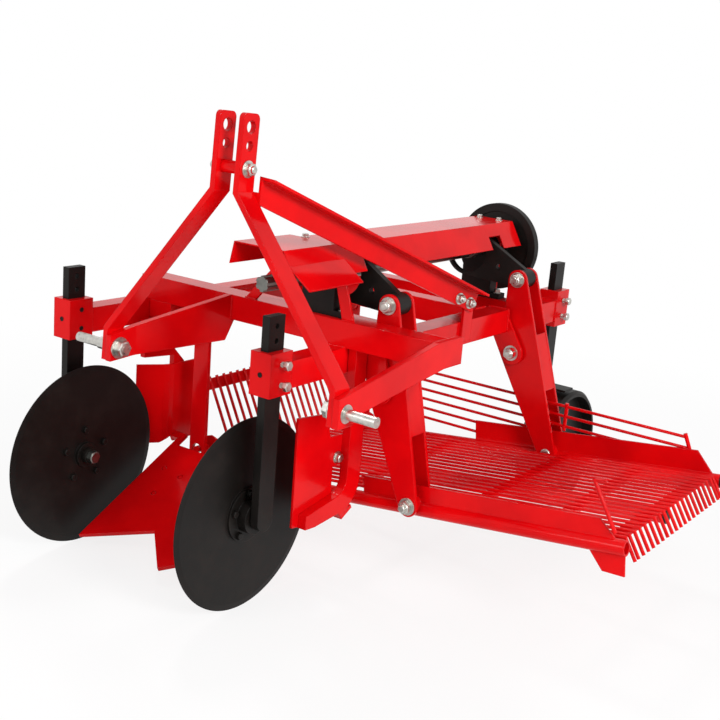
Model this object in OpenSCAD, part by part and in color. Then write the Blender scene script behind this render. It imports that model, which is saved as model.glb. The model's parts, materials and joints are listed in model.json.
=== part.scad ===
// Side-discharge vibrating potato digger for a small tractor's three-point hitch.
// X runs across the machine, with +X the side where the sieve discharges,
// Y runs backwards and Z up from the floor. Sizes are in millimetres.
// Places are measured from the middle of the hitch, and set_down moves them to the origin.

/* [Hitch] */
// Width across the shoulders of the two lower pins
hitch_w = 683; // [660:1:700]
// Height of the lower pins above the floor
hitch_h = 545; // [530:1:560]
// Radius of the lower pins
pin_r = 11; // [10:0.5:12]
// Height of the mast's upper hole above the lower pins
mast_h = 510; // [505:1:512]
// Clear gap between the two mast plates
mast_gap = 62; // [52:1:70]
// Width of the flat bar that the mast is bent from
mast_w = 47; // [44:1:52]

/* [Frame] */
// Outer size of the square tubes
tube = 60; // [50:1:60]
// Front face of the front beam, behind the hitch pins
beam_y = 319; // [310:1:325]
// Length of the front beam that lies on the digging side of the hitch
beam_far = 545; // [530:1:570]

/* [Digging unit] */
// Diameter of the coulter discs
disc_d = 440; // [400:5:450]
// Place of the inner disc across the machine
disc_near_x = 25; // [15:1:30]
// Place of the outer disc across the machine
disc_far_x = -495; // [-510:1:-485]
// Distance of the disc axles behind the hitch pins
disc_y = 95; // [90:1:105]
// Slope of the share
share_tilt = 28; // [22:1:32]
// Height of the share's tips above the floor
share_h = 25; // [15:1:40]

/* [Sieve] */
// Slope of the sieve, rising to the discharge side
deck_tilt = 7.1; // [6:0.1:8]
// Number of sieve bars
bar_count = 19; // [15:1:21]
// Diameter of the sieve bars
bar_d = 8; // [8:1:12]
// Number of level rods in the rear guard
guard_count = 6; // [5:1:6]

/* [Drive] */
// Height of the drive shaft above the hitch pins
shaft_up = 178; // [170:1:185]
// Throw of the two eccentrics
throw = 10; // [6:1:10]
// Diameter of the flywheel
flywheel_d = 240; // [200:5:240]
// Place of the front lever behind the hitch pins
lever_front_y = 425; // [425:1:430]
// Place of the rear lever behind the hitch pins
lever_rear_y = 1000; // [995:1:1003]

/* [Gauge wheel] */
// Diameter of the gauge wheel
wheel_d = 340; // [320:5:350]
// Width of the gauge wheel
wheel_w = 80; // [60:2:90]

/* [Hidden] */
$fn = 48;
eps = 1;
run_gap = 0.06;
red = "#d3161b";
black = "#1d1d1d";
steel = "#b9bcc0";

// Heights above the floor
shaft_z = hitch_h + shaft_up;
beam_top = hitch_h + 90;
beam_low = beam_top - tube;
side_top = hitch_h + 50;
side_low = side_top - tube;
far_top = hitch_h + 62;

// Frame
beam_back = beam_y + tube;
arm_x = 325;
arm_t = 15;
arm_far_x = -283;
arm_front = -25;
mast_t = 13;
mast_lean = 3.4;
near_beam_x = 104;
far_beam_x = -450;
far_beam_w = 50;
wheel_beam_y = 1046;
rear_beam_y = 880;
middle_beam_y = 500;

// Levers: top pin, frame pivot and foot pin as [x, z], seen from the front
lever_t = 8;
lever_gap = 50;
lever_w = lever_gap + 2 * lever_t;
clear = 6;
plate_t = 7;
front_top = [156, hitch_h + 128];
front_pivot = [158, hitch_h - 67];
front_foot = [254, hitch_h - 322];
rear_top = [172, hitch_h + 130];
rear_pivot = [184, hitch_h - 63];
rear_foot = [313, hitch_h - 313];
pivot_r = 15;
bolt_r = 10;
open_gap = 4;

// Sieve, in the deck's own frame: u along the bars, w square to the deck
rail_r = 17;
deck_z = hitch_h - 366;
rail_u = [-300, 775];
deck_front_y = lever_front_y;
deck_rear_y = lever_rear_y;
bar_r = bar_d / 2;
bar_w = 14;
lip_u = 762;
fence_u = -330;
fence_tilt = 70;
fence_len = 236;
side_t = 5;

// Hangers on the closed side of the sieve, with the foot pin's place on the deck
function deck_at(u, w) = [u * cos(deck_tilt) - w * sin(deck_tilt), deck_z + u * sin(deck_tilt) + w * cos(deck_tilt)];
hanger_foot = deck_at(-390, 60);
hanger_top = [hanger_foot[0], far_top - tube - 42];
hanger_t = 10;
hanger_front_y = deck_front_y - 39;
hanger_rear_y = deck_rear_y + 29;
hanger_pin_r = 12;
foot_pin_r = 9;
hanger_gap = 7;

// Coulters
disc_r = disc_d / 2;
disc_t = 5;
shank_off = 47;
shank_t = 20;
shank_w = 50;
axle_r = 17;

// Gauge wheel
wheel_r = wheel_d / 2;
wheel_shank_x = 158;
wheel_x = wheel_shank_x + 62;
wheel_y = 1228;

// Origin under the middle of the whole machine
clamp_w = 56;
far_reach = disc_far_x - shank_off - clamp_w / 2;
near_reach = lip_u * cos(deck_tilt) - bar_w * sin(deck_tilt) + 33;
middle_x = (far_reach + near_reach) / 2;
middle_y = (disc_y - disc_r + wheel_y + wheel_r) / 2;

module set_down() {
  translate([-middle_x, -middle_y, 0]) children();
}

// Plate with its face square to Y, drawn as [x, z]
module plate_y(y, t) {
  translate([0, y + t, 0]) rotate([90, 0, 0]) linear_extrude(t) children();
}

// Plate with its face square to X, drawn as [y, z]
module plate_x(x, t) {
  translate([x, 0, 0]) rotate([90, 0, 90]) linear_extrude(t) children();
}

module rod_y(p, y, len, r) {
  translate([p[0], y + len, p[1]]) rotate([90, 0, 0]) cylinder(r = r, h = len);
}

module rod_x(x, y, z, len, r) {
  translate([x, y, z]) rotate([0, 90, 0]) cylinder(r = r, h = len);
}

// Straight bar of radius r between two points
module rod(p, q, r) {
  d = q - p;
  translate(p) rotate([0, acos(d[2] / norm(d)), atan2(d[1], d[0])]) cylinder(r = r, h = norm(d));
}

module box(low, high) {
  translate(low) cube(high - low);
}

// Plate square to Y with two round ends, joined by their outer tangents
module link_y(y, t, c1, r1, c2, r2) {
  d = c2 - c1;
  a = atan2(d[1], d[0]);
  b = acos((r1 - r2) / norm(d));
  function at(c, r, k) = c + (r - 0.02) * [cos(k), sin(k)];
  rod_y(c1, y, t, r1);
  rod_y(c2, y, t, r2);
  plate_y(y, t) polygon([at(c1, r1, a + b), at(c2, r2, a + b), at(c2, r2, a - b), at(c1, r1, a - b)]);
}

// Square tube with welded end caps, along X or along Y
module tube_x(x0, x1, y, z, w, h) {
  box([x0, y, z], [x1, y + w, z + h]);
}

module tube_y(x, y0, y1, z, w, h) {
  box([x, y0, z], [x + w, y1, z + h]);
}

module front_beam() {
  color(red) set_down() tube_x(-beam_far, arm_x, beam_y, beam_low, tube, tube);
}

module near_beam() {
  color(red) set_down()
    tube_y(near_beam_x, lever_front_y + lever_w / 2 + clear + plate_t,
      lever_rear_y - lever_w / 2 - clear - plate_t, side_low, tube, tube);
}

module far_beam() {
  // plate, its thickness and the two ends of the hanger pin, for the front and the rear
  eyes = [[hanger_front_y + hanger_t + clear, hanger_front_y - 4], [hanger_rear_y - clear - 10, hanger_rear_y - clear - 10]];
  color(red) set_down() {
    tube_y(far_beam_x, beam_back, wheel_beam_y, far_top - tube, far_beam_w, tube);
    for (e = eyes) {
      difference() {
        link_y(e[0], 10, hanger_top + [-30, 42], 24.9, hanger_top, 24.9);
        box([-900, 0, far_top - tube], [0, 2000, 2000]);
      }
      rod_y(hanger_top, e[1], hanger_t + clear + 14, hanger_pin_r);
    }
  }
}

module middle_beam() {
  color(red) set_down()
    tube_x(far_beam_x + far_beam_w, near_beam_x, middle_beam_y, side_low, far_beam_w, tube);
}

module rear_beam() {
  color(red) set_down()
    tube_x(far_beam_x + far_beam_w, near_beam_x, rear_beam_y, side_low, far_beam_w, tube);
}

// Clamp box round a flat shank, open through the top
module clamp(x, y, z, h) {
  difference() {
    box([x - clamp_w / 2, y - 35, z], [x + clamp_w / 2, y + 35, z + h]);
    box([x - shank_t / 2, y - shank_w / 2, z - eps], [x + shank_t / 2, y + shank_w / 2, z + h + eps]);
  }
}

module wheel_beam() {
  color(red) set_down() {
    tube_x(far_beam_x, wheel_shank_x + 25, wheel_beam_y, side_low, 50, tube);
    tube_y(wheel_shank_x - 25, wheel_beam_y + 40, wheel_y - 34, side_low, 50, tube);
    clamp(wheel_shank_x, wheel_y, side_low - 15, 100);
  }
}

// Lower arm: a plate from the pin up to the front beam, from its outlines as [x, y] and [y, z]
module arm(x, plan, side) {
  difference() {
    intersection() {
      linear_extrude(1000) polygon(plan);
      plate_x(-600, 1200) polygon(side);
    }
    rod_x(x - 100, 0, hitch_h, 200, pin_r);
  }
}

module arm_near() {
  back = beam_back + 40;
  color(red) set_down() arm(arm_x,
    [[arm_x, arm_front], [arm_x + arm_t, arm_front], [arm_x + arm_t, back], [arm_x, back]],
    [[arm_front, hitch_h - 28], [arm_front, hitch_h + 32], [beam_y, beam_top], [back, beam_top],
      [back, beam_low], [beam_back - 30, beam_low], [64, hitch_h - 8], [20, hitch_h - 28]]);
}

module arm_far() {
  // the arm bends inwards behind the pin, and its foot reaches under the beam
  out = arm_far_x - arm_t;
  bend = 50;
  shift = 42;
  end = beam_y + 16;
  color(red) set_down() arm(arm_far_x,
    [[out, arm_front], [arm_far_x, arm_front], [arm_far_x, bend], [arm_far_x + shift, end],
      [out + shift, end], [out, bend]],
    [[arm_front, hitch_h - 28], [arm_front, hitch_h + 30], [beam_y, beam_top], [beam_y, beam_low],
      [beam_y + 12, beam_low], [beam_y - 14, hitch_h - 20], [40, hitch_h - 24]]);
}

// Lower pin with its collar, pointing outwards, and its thread on the inner side
pin_len = 70;
module pin(inner, outer, collar_r) {
  shoulder = hitch_w / 2;
  rod_x(inner, 0, hitch_h, shoulder + pin_len - inner, pin_r);
  rod_x(outer, 0, hitch_h, shoulder - outer, collar_r);
}

module pin_near() {
  color(steel) set_down() pin(arm_x - mast_t - 20, arm_x + arm_t, 19);
}

module pin_far() {
  color(steel) set_down() mirror([1, 0, 0]) pin(-arm_far_x - 20, -arm_far_x + arm_t + mast_t, 13.5);
}

// The mast leans back about the lower pins
module on_mast() {
  translate([0, 0, hitch_h]) rotate([-mast_lean, 0, 0]) children();
}

// One mast leg: upright at the top with round corners, bent out to the pin
module mast_leg(side, foot) {
  t = mast_t;
  inner = mast_gap / 2 - t / 2;
  foot_in = foot - t;
  bend = 378;
  top = 537;
  half = mast_w / 2;
  corner = 12;
  on_mast() difference() {
    intersection() {
      plate_y(-half, mast_w) scale_x(side) polygon([
        [inner, top], [inner + t, top], [inner + t, bend + 5], [foot, 46], [foot, -28], [foot_in, -28],
        [foot_in, 40], [inner, bend]]);
      union() {
        box([-500, -half - 1, -100], [500, half + 1, top - corner]);
        box([-500, corner - half, 0], [500, half - corner, top + 1]);
        for (y = [corner - half, half - corner]) rod_x(-500, y, top - corner, 1000, corner);
      }
    }
    rod_x(-mast_gap, 0, mast_h, 2 * mast_gap, 13);
    rod_x(-mast_gap, 0, mast_h - 37, 2 * mast_gap, 10);
    rod_x(-mast_gap, 0, 428, 2 * mast_gap, 8);
    rod_x(-500, 0, 0, 1000, pin_r + 0.2);
  }
}

module scale_x(side) {
  if (side > 0) children();
  else mirror([1, 0]) children();
}

module mast_near() {
  color(red) set_down() mast_leg(1, arm_x);
}

module mast_far() {
  color(red) set_down() mast_leg(-1, -arm_far_x + arm_t + mast_t);
}

// Bolt and spacer tube that hold the mast plates apart
module mast_spacer() {
  half = mast_gap / 2 - mast_t / 2;
  color(red) set_down() on_mast() {
    rod_x(-half, 0, 428, 2 * half, 13);
    rod_x(-half - 30, 0, 428, 2 * half + 60, 8);
  }
}

// Angle-section stay from the mast back to the side beam
stay_top = [50, 40, hitch_h + 418];
stay_foot = [180, 745, hitch_h + 126];
module rear_stay() {
  d = stay_foot - stay_top;
  half = mast_w / 2;
  color(red) set_down() {
    difference() {
      translate(stay_top) rotate([0, acos(d[2] / norm(d)), atan2(d[1], d[0])])
        linear_extrude(norm(d)) polygon([[0, -40], [6, -40], [6, -6], [54, -6], [54, 0], [0, 0]]);
      on_mast() box([-50, -100, 100], [300, half, 700]);
    }
    on_mast() box([mast_gap / 2 - 5, half, 356], [56, half + 6, 384]);
  }
}

module stay_bracket() {
  color(red) set_down() plate_x(near_beam_x + tube, 8)
    polygon([[705, side_low + 10], [748, side_low + 10], [748, side_top + 38], [705, side_top + 56]]);
}

// Two plates that carry a lever's pivot, with the pivot pin through them
module lever_bracket(y, pivot, root_c, root_r) {
  difference() {
    union() {
      for (py = [y - lever_w / 2 - clear - plate_t, y + lever_w / 2 + clear])
        link_y(py, plate_t, root_c, root_r, pivot, 32);
      rod_y(pivot, y - lever_w / 2 - clear - plate_t - 12, lever_w + 2 * clear + 2 * plate_t + 24, pivot_r);
    }
    box([-900, 0, 0], [900, beam_back, 2000]);
  }
}

module bracket_front() {
  color(red) set_down() lever_bracket(lever_front_y, front_pivot, [134, side_top - 30], 30);
}

module bracket_rear() {
  color(red) set_down() difference() {
    lever_bracket(lever_rear_y, rear_pivot, [134, side_top - 30], 30);
    box([-900, wheel_beam_y, 0], [900, wheel_beam_y + 200, 2000]);
  }
}

// Sloping struts on the front beam that carry the cover
cover_top = shaft_z + 80;
cover_t = 3;
module strut(foot, head) {
  plate_y(beam_y + 6, 6) polygon([
    [foot - 16, beam_top], [foot + 16, beam_top], [head + 11, cover_top - cover_t], [head - 11, cover_top - cover_t]]);
}

module strut_near() {
  color(red) set_down() strut(95, 42);
}

module strut_far() {
  color(red) set_down() strut(-190, -42);
}

// End plate on the rear tube that carries the back of the cover
module cover_end() {
  color(red) set_down() difference() {
    box([-45, wheel_beam_y + 44, side_top], [45, wheel_beam_y + 50, cover_top - cover_t]);
    rod_y([0, shaft_z], wheel_beam_y, 100, 30);
  }
}

// Bearing block on its foot
module bearing(y, foot_z) {
  t = 34;
  difference() {
    plate_y(y, t) {
      translate([0, shaft_z]) circle(46);
      translate([-46, foot_z + 14]) square([92, shaft_z - foot_z - 14]);
      translate([-75, foot_z]) square([150, 14]);
    }
    rod_y([0, shaft_z], y - eps, t + 2 * eps, 17.5 + run_gap);
  }
}

module bearing_front() {
  color(black) set_down() bearing(beam_y + 16, beam_top);
}

module bearing_rear() {
  color(black) set_down() bearing(wheel_beam_y + 8, side_top);
}

// Folded sheet over the shaft, with a hood in front
module cover() {
  t = cover_t;
  top = cover_top;
  // sheet with the outer corners given, bent to one thickness inside them
  module sheet(y, len, outer, inner) {
    plate_y(y, len) polygon(concat(outer, inner));
  }
  half = 55;
  flare = [35, 62];
  color(red) set_down() {
    difference() {
      sheet(300, 825,
        [[-half - flare[0], top - flare[1]], [-half, top], [half, top], [half + flare[0], top - flare[1]]],
        [[half + flare[0] - t, top - flare[1]], [half - 2, top - t], [2 - half, top - t], [t - half - flare[0], top - flare[1]]]);
      // slots where the rods come out
      for (y = [lever_front_y, lever_rear_y])
        box([half + 15, y - 30, shaft_z - 60], [half + 100, y + 30, top - 30]);
      // notch for the far strut
      box([-200, 290, shaft_z - 60], [2 - half, beam_y + 20, top + eps]);
    }
    // wider hood over the shaft's front end
    sheet(135, 190,
      [[-95, top - 50], [-84, top], [half, top], [72, top - 31], [130, top - 73]],
      [[128, top - 75.5], [69.6, top - 33.4], [half - 2, top - t], [t - 84, top - t], [t - 95, top - 50]]);
  }
}

// Tube that reaches forward from the front beam, with the coulter's clamp
module disc_arm(x) {
  tube_y(x - 25, disc_y + 35, beam_back - 4, beam_low - tube, 50, tube);
  clamp(x, disc_y, beam_low - tube - 10, 95);
}

module disc_arm_near() {
  color(red) set_down() disc_arm(disc_near_x + shank_off);
}

module disc_arm_far() {
  color(red) set_down() disc_arm(disc_far_x - shank_off);
}

// Flat coulter shank with its stub axle; side is the side of the disc that it stands on
module shank(x, side) {
  sx = x + side * shank_off;
  plate_x(sx - shank_t / 2, shank_t) difference() {
    union() {
      translate([disc_y, disc_r]) circle(shank_w / 2);
      translate([disc_y - shank_w / 2, disc_r]) square([shank_w, hitch_h + 130 - disc_r]);
    }
    for (z = [hitch_h + 108, hitch_h + 76]) translate([disc_y, z]) circle(6);
  }
  inner = x + side * (shank_off - shank_t / 2);
  tip = x - side * 16;
  rod_x(min(inner, tip), disc_y, disc_r, abs(inner - tip), axle_r);
  rod_x(side > 0 ? tip - 10 : tip, disc_y, disc_r, 10, 19);
}

module shank_near() {
  color(black) set_down() shank(disc_near_x, 1);
}

module shank_far() {
  color(black) set_down() shank(disc_far_x, -1);
}

// Plain coulter disc with a sharpened rim and its hub
module disc(x, side) {
  difference() {
    union() {
      translate([x, disc_y, disc_r]) rotate([0, 90, 0]) rotate_extrude()
        polygon([[0, -disc_t / 2], [disc_r - 14, -disc_t / 2], [disc_r, -0.7], [disc_r, 0.7],
          [disc_r - 14, disc_t / 2], [0, disc_t / 2]]);
      rod_x(side > 0 ? x : x - 9, disc_y, disc_r, 9, 62);
      rod_x(side > 0 ? x : x - 33, disc_y, disc_r, 33, 38);
      rod_x(side > 0 ? x - 12 : x, disc_y, disc_r, 12, 30);
    }
    rod_x(x - 40, disc_y, disc_r, 80, axle_r + run_gap);
  }
}

module disc_near() {
  color(black) set_down() disc(disc_near_x, 1);
}

module disc_far() {
  color(black) set_down() disc(disc_far_x, -1);
}

// Share plate with three tips, tilted about its front edge, and tabs to the near leg and the far wall
share_x = [-456, 8];
share_y = 54;
share_len = 350;
module share_plane() {
  translate([0, share_y, share_h]) rotate([share_tilt, 0, 0]) children();
}

module share() {
  // tips and notches along the edge
  tips = [share_x[0], -189, share_x[1]];
  notches = [-280, -74];
  notch = 88;
  tab = 308;
  near = leg_near_x + leg_t;
  color(red) set_down() share_plane() difference() {
    linear_extrude(10) polygon([
      [tips[0], 0], [notches[0], notch], [tips[1], 0], [notches[1], notch], [tips[2], 0],
      [tips[2], tab], [near, tab], [near, share_len], [-440, share_len], [-440, share_len + 42],
      [wall_far_x, share_len + 42], [wall_far_x, share_len + 22], [tips[0], share_len + 22]]);
    for (p = [[-410, 268], [-346, 259], [-373, 187], [-60, 190], [-110, 265]])
      translate([p[0], p[1], -eps]) cylinder(r = 7, h = 20);
  }
}

// Near leg: upright flat, curved forward into a foot beside the wall
leg_t = 22;
leg_near_x = 99;
leg_far_x = -500;
wall_far_x = -480;
module leg_near() {
  low = 180;
  function arc(c, r, from, to) = [for (i = [0:6]) c + r * [cos(from + (to - from) * i / 6), sin(from + (to - from) * i / 6)]];
  color(red) set_down() difference() {
    plate_x(leg_near_x, leg_t) polygon(concat(
      [[333, beam_low], [376, beam_low], [378, 430], [386, 400]],
      arc([312, 262], 74, 0, -60),
      [[326, 168], [312, low + 8], [224, low], [190, low + 2], [190, low + 34]],
      arc([297, 270], 38, -84, 0)));
    share_plane() box([-900, -400, -600], [900, 900, 10]);
  }
}

// Far leg: wide plate under a head block, narrowed down the back of the wall
module leg_far() {
  t = 15;
  head = beam_low - 45;
  color(red) set_down() {
    box([-516, beam_y, head], [-441, beam_back, beam_low]);
    plate_x(leg_far_x, t) polygon([
      [274, head + 1], [376, head + 1], [386, 440], [420, 405], [420, 250], [405, 232], [382, 232], [382, 425], [278, 434]]);
  }
}

// Upright walls beside the channel: the near one has a tab on its leg, the far one flares out behind the disc
module wall_near() {
  color(red) set_down() plate_x(leg_near_x - 6, 6)
    polygon([[167, 441], [266, 431], [290, 372], [345, 368], [345, 299], [306, 299], [306, 252], [312, 197], [224, 178], [169, 186]]);
}

module wall_far() {
  x = wall_far_x;
  color(red) set_down() difference() {
    translate([0, 0, 192]) linear_extrude(211) polygon([
      [x, 488], [x, 380], [x - 2.5, 366], [x - 9, 352], [x - 50, 295],
      [x - 54.1, 297.9], [x - 13, 355], [x - 7.3, 368], [x - 5, 380.5], [x - 5, 488]]);
    share_plane() box([-520, -100, -200], [-440, 371, 10]);
  }
}

// Gauge wheel's shank with its stub axle and scraper
module wheel_shank() {
  color(black) set_down() {
    plate_x(wheel_shank_x - shank_t / 2, shank_t) {
      translate([wheel_y, wheel_r]) circle(shank_w / 2);
      translate([wheel_y - shank_w / 2, wheel_r]) square([shank_w, side_top + 100 - wheel_r]);
    }
    rod_x(wheel_shank_x + shank_t / 2, wheel_y, wheel_r, wheel_x + wheel_w / 2 + 8 - wheel_shank_x - 10, axle_r);
    rod_x(wheel_x + wheel_w / 2 + 8, wheel_y, wheel_r, 8, 21);
    box([wheel_shank_x + shank_t / 2, wheel_y - 60, wheel_d + 8], [wheel_x + 35, wheel_y - 10, wheel_d + 14]);
  }
}

// Smooth steel gauge wheel with rounded edges and a dished side
module gauge_wheel() {
  h = wheel_w / 2;
  color(black) set_down() translate([wheel_x, wheel_y, wheel_r]) rotate([0, 90, 0]) rotate_extrude($fn = 96)
    polygon([
      [axle_r + run_gap, -h], [38, -h], [38, -6], [wheel_r - 16, -6], [wheel_r - 16, -h], [wheel_r - 8, -h],
      [wheel_r, -h + 8], [wheel_r, h - 8], [wheel_r - 8, h], [wheel_r - 16, h], [wheel_r - 16, 6], [38, 6],
      [38, h], [axle_r + run_gap, h]]);
}

// Shaft with a six-spline stub in front and two eccentrics
shaft_r = 17.5;
eccentric_r = 29;
module drive_shaft() {
  spline_y = 135;
  spline_len = 75;
  color(steel) set_down() {
    rod_y([0, shaft_z], spline_y + spline_len, 1185 - spline_y - spline_len, shaft_r);
    rod_y([0, shaft_z], spline_y, spline_len, 14.8);
    for (i = [0:5])
      translate([0, 0, shaft_z]) rotate([0, i * 60, 0])
        box([-4.3, spline_y, 14], [4.3, spline_y + spline_len, 17.3]);
    for (y = [lever_front_y, lever_rear_y]) rod_y([0, shaft_z + throw], y - 14, 28, eccentric_r);
  }
}

module flywheel() {
  y = 1150;
  r = flywheel_d / 2;
  color(black) set_down() translate([0, y, shaft_z]) rotate([-90, 0, 0]) rotate_extrude($fn = 96)
    polygon([[shaft_r, -8], [36, -8], [36, 4], [r - 22, 4], [r - 22, 0], [r, 0], [r, 22], [r - 22, 22],
      [r - 22, 14], [36, 14], [36, 26], [shaft_r, 26]]);
}

// Shaking lever: two shaped plates, a web on the discharge side and a pivot bush
module lever(y, top, pivot, foot, inward) {
  along = (foot - top) / norm(foot - top);
  side = [-along[1], along[0]];
  module outline(py) {
    link_y(py, lever_t, top, 26, pivot, 40);
    link_y(py, lever_t, pivot, 40, foot, 25);
    link_y(py, lever_t, top, 26, foot, 25);
  }
  front = y - lever_w / 2;
  difference() {
    union() {
      for (py = [front, y + lever_gap / 2]) outline(py);
      plate_y(front, lever_w) polygon([
        top + along * 150 + side * 25, top + along * 150 + side * 19,
        top + along * 300 + side * 19, top + along * 300 + side * 25]);
      rod_y(pivot, front, lever_w, 24);
      rod_y(top, front - 10, lever_w + 20, bolt_r);
      rod_y(foot, front - (inward > 0 ? 10 : 0.8), lever_w + 10.8, bolt_r);
    }
    rod_y(pivot, front - eps, lever_w + 2 * eps, pivot_r + run_gap);
  }
}

module lever_front() {
  color(red) set_down() lever(lever_front_y, front_top, front_pivot, front_foot, 1);
}

module lever_rear() {
  color(red) set_down() lever(lever_rear_y, rear_top, rear_pivot, rear_foot, -1);
}

// Connecting rod: ring round the eccentric, plate and bush on the lever's top pin
ring_r = eccentric_r + 2 * throw + 8;
module conrod(y, top) {
  t = 16;
  difference() {
    union() {
      link_y(y - t / 2, t, [0, shaft_z], ring_r + 8, top, 25);
      rod_y(top, y - lever_gap / 2 + 3, lever_gap - 6, 25);
    }
    rod_y([0, shaft_z], y - 20, 40, ring_r);
    rod_y(([0, shaft_z] + top) / 2 + 12 * (top - [0, shaft_z]) / norm(top - [0, shaft_z]), y - 20, 40, 7);
    rod_y(top, y - 40, 80, bolt_r + run_gap);
  }
}

module conrod_front() {
  color(black) set_down() conrod(lever_front_y, front_top);
}

module conrod_rear() {
  color(black) set_down() conrod(lever_rear_y, rear_top);
}

// Deck frame: u along the bars, w square to them
module on_deck() {
  translate([0, 0, deck_z]) rotate([0, -deck_tilt, 0]) children();
}

// Side of the sieve: tube, upright plate, cheek for the hanger's pin and the boss for the lever's foot
module sieve_side(y, foot, start, height, bore, pin_y) {
  difference() {
    union() {
      on_deck() {
        rod_x(rail_u[0], y, 0, rail_u[1] - rail_u[0], rail_r);
        plate_y(y - side_t / 2, side_t) polygon([
          [start, 0], [rail_u[1] - 10, 0], [rail_u[1] - 60, height], [start, height]]);
        plate_y(y - side_t / 2, side_t) polygon([
          [-262, 0], [-262, 45], [-300, 62], [-372, 92], [-412, 84], [-416, 44], [-300, -6]]);
        children();
      }
      rod_y(foot, y - lever_gap / 2 + 3, lever_gap - 6, 20);
      rod_y(hanger_foot, pin_y, 46, foot_pin_r);
    }
    on_deck() rod_x(rail_u[0] - eps, y, 0, rail_u[1] - rail_u[0] + 2 * eps, rail_r - 4);
    rod_y(foot, y - 40, 80, bolt_r + bore);
  }
}

module sieve_side_front() {
  color(red) set_down() sieve_side(deck_front_y, front_foot, 115, 56, run_gap, deck_front_y - 44)
    plate_y(deck_front_y - side_t / 2, side_t) polygon([[690, -12], [772, -12], [772, -62], [722, -58]]);
}

module sieve_side_rear() {
  color(red) set_down() sieve_side(deck_rear_y, rear_foot, 87, 70, open_gap, deck_rear_y - 2);
}

// Bars through cross flats, with a middle tube; bent down at the lip and up at the fence
module sieve_grid() {
  edge = lever_w / 2 + bar_r + clear;
  pitch = (deck_rear_y - deck_front_y - 2 * edge) / (bar_count - 1);
  // the middle tube lies under the cross flats
  middle = (deck_front_y + deck_rear_y) / 2;
  under = bar_w - bar_r - 8 - rail_r;
  lip = [lip_u, bar_w];
  lip_end = [lip_u + 22, bar_w - 48];
  fence = [fence_u, bar_w];
  fence_end = fence + fence_len * [-cos(fence_tilt), sin(fence_tilt)];
  module bar(y, points) {
    translate([0, y, 0]) {
      for (i = [1:len(points) - 1])
        rod([points[i - 1][0], 0, points[i - 1][1]], [points[i][0], 0, points[i][1]], bar_r);
      for (i = [1:len(points) - 2]) translate([points[i][0], 0, points[i][1]]) sphere(bar_r + 0.2);
    }
  }
  color(red) set_down() on_deck() {
    difference() {
      union() {
        rod_x(rail_u[0], middle, under, rail_u[1] - 30 - rail_u[0], rail_r);
        for (u = [-285, 20, 350, 560, 720])
          box([u, deck_front_y, bar_w - bar_r - 9], [u + 30, deck_rear_y, bar_w - bar_r + 1]);
      }
      rod_x(rail_u[0] - eps, middle, under, 1400, rail_r - 4);
      for (y = [deck_front_y, deck_rear_y]) rod_x(-500, y, 0, 1500, rail_r);
      box([-500, deck_front_y - 60, -40], [900, deck_front_y + side_t / 2, 200]);
      box([-500, deck_rear_y - side_t / 2, -40], [900, deck_rear_y + 60, 200]);
    }
    for (i = [0:bar_count - 1]) bar(deck_front_y + edge + i * pitch, [fence_end, fence, lip, lip_end]);
    // short bars beyond the levers' feet
    bar(deck_front_y + 24, [[300, bar_w], lip, lip_end]);
    bar(deck_rear_y - 24, [[372, bar_w], lip, lip_end]);
    // flat along the top of the fence
    translate([fence_u, 0, bar_w]) rotate([0, fence_tilt - 180, 0])
      box([fence_len - 34, deck_front_y + edge - 10, bar_r - 1], [fence_len - 4, deck_rear_y - edge + 10, bar_r + 5]);
  }
}

// Slanted end rod on the front side, with a short hook
guard_r = 4;
module guard_front() {
  y = deck_front_y - side_t / 2 - guard_r - 0.5;
  top = [681, y, hitch_h - 140];
  color(red) set_down() {
    rod([743, y, hitch_h - 243], top, guard_r + 0.5);
    rod(top + [1, 0, -3], [706, y, hitch_h - 137], guard_r - 0.5);
    translate([706, y, hitch_h - 137]) sphere(guard_r);
  }
}

// Level guard rods along the rear side
module guard_rear() {
  top = hitch_h - 185;
  y = deck_rear_y + side_t / 2 + guard_r + 1;
  pitch = 27;
  ends = [665, 677, 689, 230, 90, 90];
  // place, upper and lower end of the two posts
  posts = [[-290, top + 9, hitch_h - 376], [338, top + 9, top - 66]];
  color(red) set_down() {
    for (i = [0:guard_count - 1])
      rod([posts[0][0], y, top - i * pitch], [ends[i], y, top - i * pitch], guard_r);
    rod([661, y, top + 9], [661 + 75 * 12 / pitch, y, top - 66], guard_r + 1);
    for (p = posts) rod([p[0], y, p[1]], [p[0], y, p[2]], guard_r + 1);
  }
}

// Flat hanger between the far beam and the closed end of the sieve
module hanger(y) {
  difference() {
    link_y(y, hanger_t, hanger_top, 24, hanger_foot, 26);
    rod_y(hanger_top, y - eps, hanger_t + 2 * eps, hanger_pin_r + run_gap);
    rod_y(hanger_foot, y - eps, hanger_t + 2 * eps, foot_pin_r + hanger_gap);
  }
}

module hanger_front() {
  color(red) set_down() hanger(hanger_front_y);
}

module hanger_rear() {
  color(red) set_down() hanger(hanger_rear_y);
}

front_beam();
near_beam();
far_beam();
middle_beam();
rear_beam();
wheel_beam();
arm_near();
arm_far();
pin_near();
pin_far();
mast_near();
mast_far();
mast_spacer();
rear_stay();
stay_bracket();
bracket_front();
bracket_rear();
strut_near();
strut_far();
cover_end();
bearing_front();
bearing_rear();
cover();
disc_arm_near();
disc_arm_far();
shank_near();
shank_far();
leg_near();
leg_far();
wall_near();
wall_far();
share();
wheel_shank();
drive_shaft();
flywheel();
lever_front();
lever_rear();
conrod_front();
conrod_rear();
sieve_side_front();
sieve_side_rear();
sieve_grid();
guard_front();
guard_rear();
hanger_front();
hanger_rear();
disc_near();
disc_far();
gauge_wheel();
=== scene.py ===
"""Finish of a side-discharge vibrating potato digger.

Paint, fasteners, caps, weld seams and the studio around the solids of the part.
"""
import json
import math

import bmesh
import bpy
from mathutils import Matrix, Vector


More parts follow.
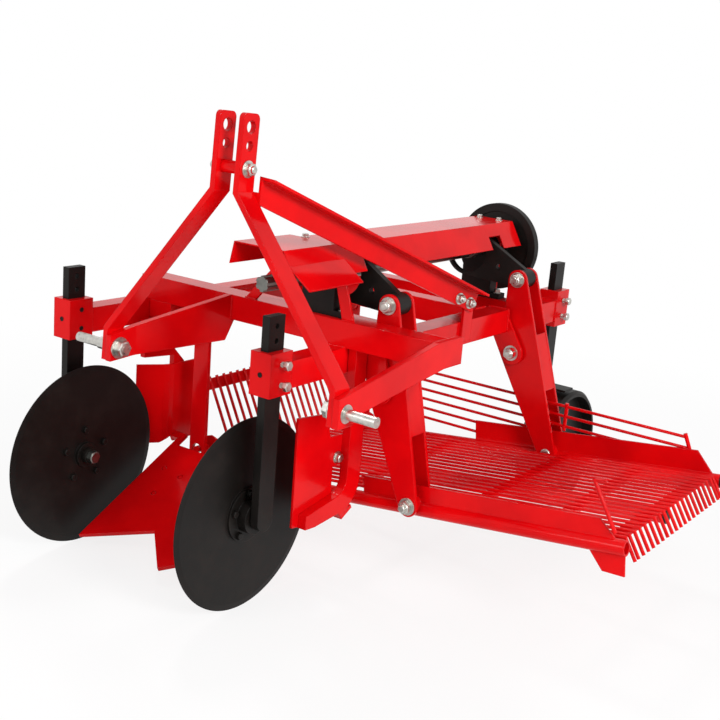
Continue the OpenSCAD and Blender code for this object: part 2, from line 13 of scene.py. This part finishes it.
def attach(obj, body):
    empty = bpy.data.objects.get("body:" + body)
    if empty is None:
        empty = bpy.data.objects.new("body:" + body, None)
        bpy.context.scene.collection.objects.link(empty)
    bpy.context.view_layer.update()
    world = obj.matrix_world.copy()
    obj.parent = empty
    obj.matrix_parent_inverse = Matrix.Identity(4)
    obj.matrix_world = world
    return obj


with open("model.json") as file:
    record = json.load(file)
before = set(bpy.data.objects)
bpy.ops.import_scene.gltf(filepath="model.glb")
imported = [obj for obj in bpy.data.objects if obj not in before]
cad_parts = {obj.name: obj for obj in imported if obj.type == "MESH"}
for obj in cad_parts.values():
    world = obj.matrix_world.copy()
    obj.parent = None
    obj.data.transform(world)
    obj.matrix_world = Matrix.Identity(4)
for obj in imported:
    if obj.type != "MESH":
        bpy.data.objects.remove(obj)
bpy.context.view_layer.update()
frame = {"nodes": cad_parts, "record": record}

bl_info = {
    "name": "Potato digger finish",
    "version": (1, 0, 0),
    "blender": (4, 5, 0),
    "location": "View3D > Sidebar > Digger",
    "description": "Paints the digger and adds its bolts, caps, weld seams and studio",
    "category": "Object",
}

MM = 0.001
# Middle of the hitch, from which places are given in millimetres, to the model's origin
MIDDLE = Vector((108.713, 636.5, 0.0))
X = Vector((1, 0, 0))
Y = Vector((0, 1, 0))
Z = Vector((0, 0, 1))

# Places below are in millimetres from the hitch and the floor.
# Height of the lower hitch pins
PIN_HEIGHT = 545
# Outward direction of the stay's flange, and the flange's outer face along the stay
STAY_OUT = Vector((0.983, -0.181, 0))
STAY_START = (56.1, 40)
STAY_RUN = (130, 705)
# Axles of the discs and of the gauge wheel: behind the hitch, above the floor
DISC_AXLE = (95, 220)
WHEEL_AXLE = (1228, 170)
# Disc, face, pitch radius and side of each ring of hub bolts
HUB_RINGS = (
    ("disc_near", 34, 50, 1),
    ("disc_near", 22.5, 62, -1),
    ("disc_far", -492.5, 62, 1),
    ("disc_far", -504, 50, -1),
)
HUB_BOLT_COUNT = 5
# Grub screws of the clamp boxes and the way each faces
GRUB_SCREWS = (
    ((-514, 95, 530), X),
    ((-514, 95, 575), X),
    ((-542, 60, 552), -Y),
    ((72, 60, 552), -Y),
    ((158, 1263, 570), Y),
)
# Tilt of the share and of the sieve's deck, in radians
SHARE_TILT = math.radians(28)
DECK_TILT = math.radians(7.1)
# Half the width over a lever's two plates
LEVER_HALF = 33
# Body, middle, top pin, foot pin and the side away from the bars
LEVERS = (
    ("lever_front", 425, (156, 673), (254, 223), -1),
    ("lever_rear", 1000, (172, 675), (313, 232), 1),
)
# Places of the share's bolts: across, and up its slope
SHARE_BOLTS = ((-410, 268), (-346, 259), (-373, 187), (-60, 190), (-110, 265))
# Front edge of the share behind the hitch and above the floor
SHARE_EDGE = (54, 25)
# Name, place in metres, size in metres and power in watts
LAMPS = (
    ("key", (4.6, -1.9, 2.9), 1.6, 210),
    ("fill", (-0.9, -4.2, 2.3), 1.6, 60),
    ("top", (-2.2, 1.2, 4.1), 0.9, 55),
)
LAMP_TARGET = Vector((0, 0, 0.5))


def spot(x, y, z):
    """Place in the model for millimetres measured from the hitch and the floor."""
    return (Vector((x, y, z)) - MIDDLE) * MM


def linear(hex_colour):
    """Linear colour of an sRGB hex value."""
    parts = [int(hex_colour[i:i + 2], 16) / 255 for i in (1, 3, 5)]
    return [c / 12.92 if c <= 0.04045 else ((c + 0.055) / 1.055) ** 2.4 for c in parts]


def colour(label, words, hex_colour):
    return bpy.props.FloatVectorProperty(
        name=label, description=words, subtype="COLOR", size=3, min=0, max=1,
        default=linear(hex_colour))


def length(label, words, metres):
    return bpy.props.FloatProperty(
        name=label, description=words, default=metres, min=0, unit="LENGTH", precision=4)


class DiggerPaint(bpy.types.PropertyGroup):
    """Colours of the digger's finishes."""
    red: colour("Red", "Gloss powder paint of the frame, the levers and the sieve", "#dc060b")
    red_deep: colour("Deep red", "Thinner paint in the patches between", "#c8040a")
    black: colour("Black", "Satin paint of the discs, shanks and rods", "#100d0b")
    black_dust: colour("Dusty black", "Paint with a film of dust", "#1d1815")
    zinc: colour("Zinc", "Bright plating of the bolts and pins", "#cfcdc6")
    steel: colour("Steel", "Oiled turned steel of the shaft", "#7d7f7a")
    floor: colour("Floor", "Studio floor", "#f6f6f6")


class DiggerSizes(bpy.types.PropertyGroup):
    """Sizes of the fasteners and the weld seams."""
    pin_nut: length("Pin nut", "Width across flats of the lower pins' nuts", 0.032)
    pivot_nut: length("Pivot nut", "Width across flats of the nuts of the levers and hangers", 0.027)
    bolt: length("Bolt", "Width across flats of the clamp, mast and stay bolts", 0.019)
    small_bolt: length("Small bolt", "Width across flats of the hub and cover bolts", 0.015)
    screw_stand: length("Screw stand-off", "Thread that shows under the clamp screws' heads", 0.012)
    pin_head: length("Pin head", "Radius of the round heads at the sieve's pins", 0.013)
    weld: length("Weld", "Width of the weld seams", 0.008)


class DiggerCamera(bpy.types.PropertyGroup):
    """Camera that looks at the front corner on the discharge side."""
    azimuth: bpy.props.FloatProperty(
        name="Azimuth", description="Turn to the discharge side",
        default=math.radians(34.616), subtype="ANGLE")
    elevation: bpy.props.FloatProperty(
        name="Elevation", description="Tilt from above",
        default=math.radians(14.404), subtype="ANGLE")
    roll: bpy.props.FloatProperty(
        name="Roll", description="Turn of the camera about its view",
        default=math.radians(4.735), subtype="ANGLE")
    lens: bpy.props.FloatProperty(name="Lens", description="Focal length", default=58.27, unit="CAMERA")
    place: bpy.props.FloatVectorProperty(
        name="Place", description="Where the camera stands", subtype="TRANSLATION", unit="LENGTH",
        default=spot(1560.9, -1737.9, 1198.8))


# Materials

def add(tree, kind, links=(), **settings):
    """Adds a node with its settings, and links other nodes' outputs to its inputs."""
    made = tree.nodes.new(kind)
    for key, value in settings.items():
        if hasattr(made, key):
            setattr(made, key, value)
        else:
            made.inputs[key].default_value = value
    for source, target in links:
        tree.links.new(source, made.inputs[target])
    return made


def finish_start(name):
    """New material with its shader, its output and coordinates in metres on the object."""
    material = bpy.data.materials.new(name)
    material.use_nodes = True
    tree = material.node_tree
    tree.nodes.clear()
    shader = add(tree, "ShaderNodeBsdfPrincipled")
    add(tree, "ShaderNodeOutputMaterial", [(shader.outputs[0], "Surface")])
    place = add(tree, "ShaderNodeTexCoord").outputs["Object"]
    return material, tree, shader, place


def per_mm(size):
    """Noise scale whose features are about this many millimetres across."""
    return 1000.0 / size


def round_edges(tree, radius):
    """Normal that lets the folded and sawn edges catch the light, as their small radii do."""
    return add(tree, "ShaderNodeBevel", samples=6, Radius=radius).outputs[0]


def cloud(tree, place, size, detail, **more):
    """Noise whose features are about this many millimetres across."""
    made = add(tree, "ShaderNodeTexNoise", [(place, "Vector")],
               Scale=per_mm(size), Detail=detail, **more)
    return made.outputs["Fac"]


def two_tones(tree, shader, value, low, low_tone, high, high_tone):
    """Base colour that goes from one tone to another with a value."""
    ramp = add(tree, "ShaderNodeValToRGB", [(value, "Fac")])
    for stop, place, tone in zip(ramp.color_ramp.elements, (low, high), (low_tone, high_tone)):
        stop.position = place
        stop.color = (*tone, 1)
    tree.links.new(ramp.outputs["Color"], shader.inputs["Base Color"])


def rough_between(tree, shader, value, smooth, rough):
    """Roughness that changes with a value."""
    made = add(tree, "ShaderNodeMapRange", [(value, "Value")])
    made.inputs["To Min"].default_value = smooth
    made.inputs["To Max"].default_value = rough
    tree.links.new(made.outputs[0], shader.inputs["Roughness"])


def skin(tree, shader, height, edge, strength):
    """Fine relief of the paint over the rounded edges."""
    bump = add(tree, "ShaderNodeBump", [(height, "Height"), (round_edges(tree, edge), "Normal")])
    bump.inputs["Strength"].default_value = strength
    bump.inputs["Distance"].default_value = 0.0006
    tree.links.new(bump.outputs[0], shader.inputs["Normal"])


def gloss(shader, level):
    """Reflection of a clear paint film."""
    shader.inputs["IOR"].default_value = 1.4
    shader.inputs["Specular IOR Level"].default_value = level


def red_powder_paint(paint):
    """Gloss polyester powder on steel: an orange-peel skin with soft changes of depth."""
    material, tree, shader, place = finish_start("red_powder_paint")
    two_tones(tree, shader, cloud(tree, place, 140, 4.0), 0.35, paint.red_deep, 0.6, paint.red)
    rough_between(tree, shader, cloud(tree, place, 45, 3.0), 0.1, 0.2)
    # The peel of real powder paint is about 2 mm; 5 mm still shows at this distance
    skin(tree, shader, cloud(tree, place, 5, 2.0), 0.003, 0.08)
    gloss(shader, 0.17)
    return material


def black_satin_paint(paint):
    """Brushed-on satin paint on rolled steel: faint dust and a grain of fine pits."""
    material, tree, shader, place = finish_start("black_satin_paint")
    dust = cloud(tree, place, 60, 6.0, Roughness=0.65)
    two_tones(tree, shader, dust, 0.45, paint.black, 0.75, paint.black_dust)
    rough_between(tree, shader, dust, 0.4, 0.58)
    skin(tree, shader, cloud(tree, place, 4, 3.0), 0.002, 0.12)
    gloss(shader, 0.25)
    return material


def plated_metal(name, tone, smooth, rough, spangle_mm):
    """Metal with the cloudy spangle of plating or the haze of oil on turned steel."""
    material, tree, shader, place = finish_start(name)
    spangle = cloud(tree, place, spangle_mm, 4.0)
    two_tones(tree, shader, spangle, 0.3, [c * 0.7 for c in tone], 0.65, tone)
    rough_between(tree, shader, spangle, smooth, rough)
    shader.inputs["Metallic"].default_value = 1.0
    tree.links.new(round_edges(tree, 0.001), shader.inputs["Normal"])
    return material


def finishes():
    """The finishes by slot, made once."""
    paint = bpy.context.scene.digger_paint
    made = bpy.data.materials
    if "red_powder_paint" not in made:
        red_powder_paint(paint)
        black_satin_paint(paint)
        plated_metal("bright_zinc", paint.zinc, 0.22, 0.38, 9)
        plated_metal("oiled_steel", paint.steel, 0.28, 0.45, 14)
    return {
        "red_paint": made["red_powder_paint"],
        "black_paint": made["black_satin_paint"],
        "zinc_steel": made["bright_zinc"],
        "bare_steel": made["oiled_steel"],
    }


# Shapes

def turn_to(axis):
    """Rotation that takes +Z to this axis."""
    return Z.rotation_difference(axis).to_matrix().to_4x4()


def disc_at(bm, place, axis, radius, thick, sides, top=None):
    """Short cylinder or cone that stands on a place along an axis."""
    axis = axis.normalized()
    made = bmesh.ops.create_cone(
        bm, cap_ends=True, segments=sides, depth=thick,
        radius1=radius, radius2=radius if top is None else top)
    stand = Matrix.Translation(place + axis * thick / 2) @ turn_to(axis)
    bmesh.ops.transform(bm, matrix=stand, verts=made["verts"])
    return made["verts"]


def hex_bolt(bm, place, axis, flats, stud=0.0, washer=True):
    """Hex head or nut on a washer, with a chamfered crown and the stud's end."""
    axis = axis.normalized()
    level = place
    if washer:
        disc_at(bm, level, axis, flats * 0.76, flats * 0.11, 28)
        level = level + axis * flats * 0.11
    disc_at(bm, level, axis, flats / math.sqrt(3), flats * 0.5, 6)
    level = level + axis * flats * 0.5
    disc_at(bm, level, axis, flats * 0.5, flats * 0.07, 24, flats * 0.44)
    if stud:
        disc_at(bm, level, axis, flats * 0.33, stud * 0.8, 20)
        disc_at(bm, level + axis * stud * 0.8, axis, flats * 0.33, stud * 0.2, 20, flats * 0.27)


def clamp_screw(bm, place, axis, flats, stand):
    """Screw that stands out of its clamp: a length of thread in turns, then the hex head."""
    turns = 6
    for i in range(turns):
        level = place + axis * stand * i / turns
        disc_at(bm, level, axis, flats * 0.27, stand / turns, 18, flats * 0.32)
    hex_bolt(bm, place + axis * stand, axis, flats, washer=False)


def grub_screw(bm, place, axis, radius):
    """Flush grub screw with its socket."""
    verts = disc_at(bm, place, axis, radius, radius * 0.2, 20)
    top = max({f for v in verts for f in v.link_faces}, key=lambda f: f.calc_center_median().dot(axis))
    bmesh.ops.inset_individual(bm, faces=[top], thickness=radius * 0.4, depth=-radius * 0.15)


def round_head(bm, place, axis, radius, thick):
    """Plain round head with a chamfered rim."""
    disc_at(bm, place, axis, radius, thick * 0.65, 32)
    disc_at(bm, place + axis * thick * 0.65, axis, radius, thick * 0.35, 32, radius * 0.86)


def weld(bm, a, b, width):
    """Row of overlapping scales along a seam."""
    run = b - a
    count = max(2, round(run.length / 0.006))
    for i in range(count):
        wave = 0.46 + 0.05 * math.sin(i * 2.1)
        disc_at(bm, a + run * i / count, run, width * wave, 0.0078, 9, width * wave * 0.72)


def keep(bm, name, body, slot_name):
    """Makes the mesh a piece with its finish, riding on a body."""
    bmesh.ops.recalc_face_normals(bm, faces=bm.faces)
    mesh = bpy.data.meshes.new(name)
    bm.to_mesh(mesh)
    bm.free()
    piece = bpy.data.objects.new(name, mesh)
    bpy.context.scene.collection.objects.link(piece)
    mesh.materials.append(finishes()[slot_name])
    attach(piece, body)
    return piece


class DiggerOperator:
    """What the digger's operators share."""
    bl_options = {"REGISTER", "UNDO"}


class DIGGER_OT_paint(DiggerOperator, bpy.types.Operator):
    """Paint and plate the digger's steel work"""
    bl_idname = "digger.paint"
    bl_label = "Paint the steel work"

    def execute(self, context):
        made = finishes()
        slots = {part["node"]: part["material_slot"] for part in frame["record"]["subparts"]}
        for name, part in frame["nodes"].items():
            part.data.materials.clear()
            part.data.materials.append(made[slots[name]])
        return {"FINISHED"}


class DIGGER_OT_hitch_bolts(DiggerOperator, bpy.types.Operator):
    """Add the mast bolt, the stay's bolts and the nuts of the lower pins"""
    bl_idname = "digger.hitch_bolts"
    bl_label = "Hitch bolts"

    def execute(self, context):
        sizes = context.scene.digger_sizes
        bm = bmesh.new()
        for side in (1, -1):
            hex_bolt(bm, spot(side * 37.5, 25.4, 972.3), X * side, sizes.bolt * 1.2, stud=0.006)
        for y, z in ((674, 660), (712, 646)):
            x = STAY_START[0] + STAY_RUN[0] * (y - STAY_START[1]) / STAY_RUN[1]
            hex_bolt(bm, spot(x, y, z), STAY_OUT, sizes.bolt, stud=0.006)
        hex_bolt(bm, spot(-283, 0, PIN_HEIGHT), X, sizes.pin_nut, stud=0.003)
        hex_bolt(bm, spot(312, 0, PIN_HEIGHT), -X, sizes.pin_nut, stud=0.003)
        keep(bm, "hitch_bolts", "frame", "zinc_steel")
        return {"FINISHED"}


class DIGGER_OT_coulter_bolts(DiggerOperator, bpy.types.Operator):
    """Add the clamp screws, the hub bolts and the axle nuts of the discs and the gauge wheel"""
    bl_idname = "digger.coulter_bolts"
    bl_label = "Clamp and hub bolts"

    def execute(self, context):
        sizes = context.scene.digger_sizes
        bm = bmesh.new()
        for face, y, heights in ((100, 95, (530, 575)), (186, 1228, (548, 592))):
            for z in heights:
                clamp_screw(bm, spot(face, y, z), X, sizes.bolt, sizes.screw_stand)
        keep(bm, "clamp_screws", "frame", "zinc_steel")
        bm = bmesh.new()
        for place, axis in GRUB_SCREWS:
            grub_screw(bm, spot(*place), axis, sizes.bolt * 0.3)
        keep(bm, "grub_screws", "frame", "black_paint")
        bm = bmesh.new()
        hex_bolt(bm, spot(-469, *DISC_AXLE), X, 0.028, washer=False)
        hex_bolt(bm, spot(-1, *DISC_AXLE), -X, 0.028, washer=False)
        hex_bolt(bm, spot(268, *WHEEL_AXLE), X, 0.036, washer=False)
        keep(bm, "axle_nuts", "frame", "bare_steel")
        for body, x, pitch, side in HUB_RINGS:
            bm = bmesh.new()
            for i in range(HUB_BOLT_COUNT):
                turn = math.tau * (i + 0.25) / HUB_BOLT_COUNT
                at = spot(x, DISC_AXLE[0] + pitch * math.cos(turn), DISC_AXLE[1] + pitch * math.sin(turn))
                hex_bolt(bm, at, X * side, sizes.small_bolt, washer=False)
            keep(bm, f"{body}_bolts_{'right' if side > 0 else 'left'}", body, "black_paint")
        return {"FINISHED"}


class DIGGER_OT_pivot_nuts(DiggerOperator, bpy.types.Operator):
    """Add the nuts of the levers, their frame pivots and the hangers, and the heads of the sieve's pins"""
    bl_idname = "digger.pivot_nuts"
    bl_label = "Pivot nuts"

    def execute(self, context):
        sizes = context.scene.digger_sizes
        size = sizes.pivot_nut
        for body, y, top, foot, out in LEVERS:
            bm = bmesh.new()
            for side in (1, -1):
                hex_bolt(bm, spot(top[0], y + side * LEVER_HALF, top[1]), Y * side, size, stud=0.004)
            outside = spot(foot[0], y + out * LEVER_HALF, foot[1])
            inside = spot(foot[0], y - out * LEVER_HALF, foot[1])
            hex_bolt(bm, outside, Y * out, size, stud=0.009)
            round_head(bm, inside, -Y * out, sizes.pin_head, 0.0045)
            keep(bm, f"{body}_nuts", body, "zinc_steel")
        bm = bmesh.new()
        hex_bolt(bm, spot(184, 954, 482), -Y, size, stud=0.005)
        hex_bolt(bm, spot(158, 471, 478), Y, size, stud=0.005)
        for y, side in ((382, -1), (1043, 1)):
            hex_bolt(bm, spot(-394.4, y, 505), Y * side, size, washer=False)
        keep(bm, "frame_pivot_nuts", "frame", "zinc_steel")
        return {"FINISHED"}


class DIGGER_OT_small_bolts(DiggerOperator, bpy.types.Operator):
    """Add the bolts of the bearings, the cover, the wall, the share and the flywheel"""
    bl_idname = "digger.small_bolts"
    bl_label = "Bearing, cover and share bolts"

    def execute(self, context):
        sizes = context.scene.digger_sizes
        bm = bmesh.new()
        for x in (-60, 60):
            hex_bolt(bm, spot(x, 352, 649), Z, sizes.small_bolt)
            hex_bolt(bm, spot(x, 1071, 609), Z, sizes.small_bolt)
        for x, y in ((42, 328), (-42, 328), (30, 1093), (-30, 1093)):
            hex_bolt(bm, spot(x, y, 803), Z, sizes.small_bolt * 0.85)
        hex_bolt(bm, spot(99, 319, 318), X, sizes.bolt)
        keep(bm, "frame_small_bolts", "frame", "zinc_steel")
        bm = bmesh.new()
        cos, sin = math.cos(SHARE_TILT), math.sin(SHARE_TILT)
        for x, along in SHARE_BOLTS:
            place = spot(x, SHARE_EDGE[0] + along * cos - sin, SHARE_EDGE[1] + along * sin + cos)
            round_head(bm, place, Vector((0, -sin, cos)), 0.0062, 0.0084)
        keep(bm, "share_bolts", "frame", "red_paint")
        bm = bmesh.new()
        hex_bolt(bm, spot(0, 1176, 723), Y, 0.046, stud=0.004)
        keep(bm, "flywheel_nut", "drive", "zinc_steel")
        return {"FINISHED"}


class DIGGER_OT_sieve_fittings(DiggerOperator, bpy.types.Operator):
    """Add the caps on the sieve's tubes and the weld spots along its side plates"""
    bl_idname = "digger.sieve_fittings"
    bl_label = "Sieve caps and weld spots"

    def execute(self, context):
        sizes = context.scene.digger_sizes
        along = Vector((math.cos(DECK_TILT), 0, math.sin(DECK_TILT)))
        square = Vector((-math.sin(DECK_TILT), 0, math.cos(DECK_TILT)))

        def deck(u, y, w):
            return spot(0, y, 179) + (along * u + square * w) * MM

        bm = bmesh.new()
        for u, y, w in ((745, 712.5, -15), (775, 1000, 0)):
            round_head(bm, deck(u, y, w), along, 0.0174, 0.007)
        keep(bm, "rail_caps", "sieve", "black_paint")
        bm = bmesh.new()
        for y in (424.5, 999.5):
            for u in (118, 132, 244, 266, 282, 430, 446, 590, 606):
                weld(bm, deck(u - 4, y, 15.5), deck(u + 4, y, 15.5), sizes.weld * 0.8)
        keep(bm, "sieve_welds", "sieve", "red_paint")
        return {"FINISHED"}


class DIGGER_OT_welds(DiggerOperator, bpy.types.Operator):
    """Add the weld seams where the frame's tubes and plates meet"""
    bl_idname = "digger.welds"
    bl_label = "Weld seams"

    def execute(self, context):
        width = context.scene.digger_sizes.weld
        # Ends of the seams
        seams = (
            # front beam on the near arm and the far arm
            ((325, 319, 577), (325, 319, 633)), ((325, 379, 577), (325, 379, 633)),
            ((-243, 319, 577), (-243, 319, 630)), ((-258, 319, 577), (-258, 319, 630)),
            # coulter tubes under the front beam and on their clamps
            ((47, 319, 575), (97, 319, 575)), ((-567, 319, 575), (-545, 319, 575)),
            ((47, 130, 575), (97, 130, 575)), ((97, 130, 517), (97, 130, 573)),
            ((47, 130, 517), (47, 130, 573)),
            ((-567, 130, 575), (-517, 130, 575)), ((-517, 130, 517), (-517, 130, 573)),
            # near beam between the lever brackets
            ((104, 471, 595), (164, 471, 595)), ((164, 471, 540), (164, 471, 592)),
            ((104, 954, 595), (164, 954, 595)), ((164, 954, 540), (164, 954, 592)),
            # far beam on the front beam and the rear tube
            ((-450, 379, 607), (-400, 379, 607)), ((-400, 379, 577), (-400, 379, 605)),
            ((-450, 1046, 607), (-400, 1046, 607)),
            # cross beams
            ((-400, 500, 595), (-400, 550, 595)), ((104, 500, 595), (104, 550, 595)),
            ((-400, 880, 595), (-400, 930, 595)), ((104, 880, 595), (104, 930, 595)),
            # wheel clamp and the cover's struts
            ((133, 1193, 595), (183, 1193, 595)), ((183, 1193, 537), (183, 1193, 593)),
            ((80, 325, 635), (110, 325, 635)), ((-205, 325, 635), (-175, 325, 635)),
        )
        bm = bmesh.new()
        for a, b in seams:
            weld(bm, spot(*a), spot(*b), width)
        keep(bm, "frame_welds", "frame", "red_paint")
        return {"FINISHED"}


class DIGGER_OT_stage(DiggerOperator, bpy.types.Operator):
    """Set the studio floor, the lights and the camera"""
    bl_idname = "digger.stage"
    bl_label = "Studio"

    def execute(self, context):
        scene = context.scene
        scene.view_settings.view_transform = "Standard"
        self.lay_floor(scene)
        self.light_world(scene)
        self.hang_lamps(scene)
        self.aim_camera(scene)
        return {"FINISHED"}

    def lay_floor(self, scene):
        """Wide sheet a millimetre under the object."""
        floor_mesh = bpy.data.meshes.new("floor")
        bm = bmesh.new()
        bmesh.ops.create_grid(bm, x_segments=1, y_segments=1, size=40)
        bm.to_mesh(floor_mesh)
        bm.free()
        floor = bpy.data.objects.new("floor", floor_mesh)
        scene.collection.objects.link(floor)
        floor.location.z = -0.001
        floor_mesh.materials.append(self.floor_finish(scene))

    def hang_lamps(self, scene):
        """Square lamps turned to the middle of the object."""
        for name, place, size, power in LAMPS:
            lamp = bpy.data.lights.new(name, "AREA")
            lamp.energy = power
            lamp.size = size
            holder = bpy.data.objects.new(name, lamp)
            scene.collection.objects.link(holder)
            holder.location = place
            view = LAMP_TARGET - holder.location
            holder.rotation_euler = view.to_track_quat("-Z", "Y").to_euler()

    def aim_camera(self, scene):
        """Camera at its place, turned by its azimuth, elevation and roll."""
        view = scene.digger_camera
        camera_data = bpy.data.cameras.new("camera")
        camera_data.lens = view.lens
        camera_data.sensor_width = 36
        camera = bpy.data.objects.new("camera", camera_data)
        scene.collection.objects.link(camera)
        az, el, roll = view.azimuth, view.elevation, view.roll
        look = Vector((-math.sin(az) * math.cos(el), math.cos(az) * math.cos(el), -math.sin(el)))
        right = Vector((math.cos(az), math.sin(az), 0))
        up = right.cross(look)
        cam_right = right * math.cos(roll) + up * math.sin(roll)
        cam_up = up * math.cos(roll) - right * math.sin(roll)
        turn = Matrix((cam_right, cam_up, -look)).transposed().to_4x4()
        camera.matrix_world = Matrix.Translation(Vector(view.place)) @ turn
        scene.camera = camera

    def shown(self, tree):
        """One where a ray shows the studio itself: seen, mirrored or through a pane."""
        path = add(tree, "ShaderNodeLightPath")
        total = path.outputs["Is Camera Ray"]
        for ray in ("Is Glossy Ray", "Is Transmission Ray"):
            total = add(tree, "ShaderNodeMath", [(total, 0), (path.outputs[ray], 1)],
                        operation="ADD", use_clamp=True).outputs[0]
        return total

    def floor_finish(self, scene):
        """Matt studio paper: it glows white to the eye, less near the object, where the shadow stays."""
        material, tree, shader, place = finish_start("studio_floor")
        shader.inputs["Base Color"].default_value = (*scene.digger_paint.floor, 1)
        shader.inputs["Roughness"].default_value = 0.9
        glow = add(tree, "ShaderNodeEmission", Strength=1.0)
        away = add(tree, "ShaderNodeVectorMath", [(place, 0)], operation="LENGTH")
        fade = add(tree, "ShaderNodeMapRange", [(away.outputs["Value"], "Value")])
        for name, value in (("From Min", 1.0), ("From Max", 2.6), ("To Min", 0.82), ("To Max", 1.0)):
            fade.inputs[name].default_value = value
        share = add(tree, "ShaderNodeMath", [(fade.outputs[0], 0), (self.shown(tree), 1)],
                    operation="MULTIPLY")
        mix = add(tree, "ShaderNodeMixShader", [
            (share.outputs[0], 0), (shader.outputs[0], 1), (glow.outputs[0], 2)])
        tree.links.new(mix.outputs[0], tree.nodes["Material Output"].inputs["Surface"])
        return material

    def light_world(self, scene):
        """White sky for the camera and for reflections, dimmer light on the object."""
        world = bpy.data.worlds.new("studio")
        scene.world = world
        world.use_nodes = True
        tree = world.node_tree
        tree.nodes.clear()
        soft = add(tree, "ShaderNodeBackground", Strength=0.4)
        soft.inputs["Color"].default_value = (1, 1, 1, 1)
        white = add(tree, "ShaderNodeBackground", Strength=1.0)
        white.inputs["Color"].default_value = (1, 1, 1, 1)
        mix = add(tree, "ShaderNodeMixShader", [
            (self.shown(tree), 0), (soft.outputs[0], 1), (white.outputs[0], 2)])
        add(tree, "ShaderNodeOutputWorld", [(mix.outputs[0], "Surface")])


class DIGGER_PT_panel(bpy.types.Panel):
    """Lists the digger's steps and sizes"""
    bl_idname = "DIGGER_PT_panel"
    bl_label = "Potato digger"
    bl_space_type = "VIEW_3D"
    bl_region_type = "UI"
    bl_category = "Digger"

    def draw(self, context):
        layout = self.layout
        scene = context.scene
        for group in (scene.digger_paint, scene.digger_sizes, scene.digger_camera):
            for name in group.__annotations__:
                layout.prop(group, name)
        for operator in OPERATORS:
            layout.operator(operator.bl_idname)


OPERATORS = (DIGGER_OT_paint, DIGGER_OT_hitch_bolts, DIGGER_OT_coulter_bolts, DIGGER_OT_pivot_nuts,
             DIGGER_OT_small_bolts, DIGGER_OT_sieve_fittings, DIGGER_OT_welds, DIGGER_OT_stage)
CLASSES = (DiggerPaint, DiggerSizes, DiggerCamera, *OPERATORS, DIGGER_PT_panel)


def register():
    for cls in CLASSES:
        bpy.utils.register_class(cls)
    bpy.types.Scene.digger_paint = bpy.props.PointerProperty(type=DiggerPaint)
    bpy.types.Scene.digger_sizes = bpy.props.PointerProperty(type=DiggerSizes)
    bpy.types.Scene.digger_camera = bpy.props.PointerProperty(type=DiggerCamera)


def unregister():
    for name in ("digger_paint", "digger_sizes", "digger_camera"):
        delattr(bpy.types.Scene, name)
    for cls in reversed(CLASSES):
        bpy.utils.unregister_class(cls)


def main():
    register()
    bpy.ops.digger.paint()
    bpy.ops.digger.hitch_bolts()
    bpy.ops.digger.coulter_bolts()
    bpy.ops.digger.pivot_nuts()
    bpy.ops.digger.small_bolts()
    bpy.ops.digger.sieve_fittings()
    bpy.ops.digger.welds()
    bpy.ops.digger.stage()


if __name__ == "__main__":
    main()
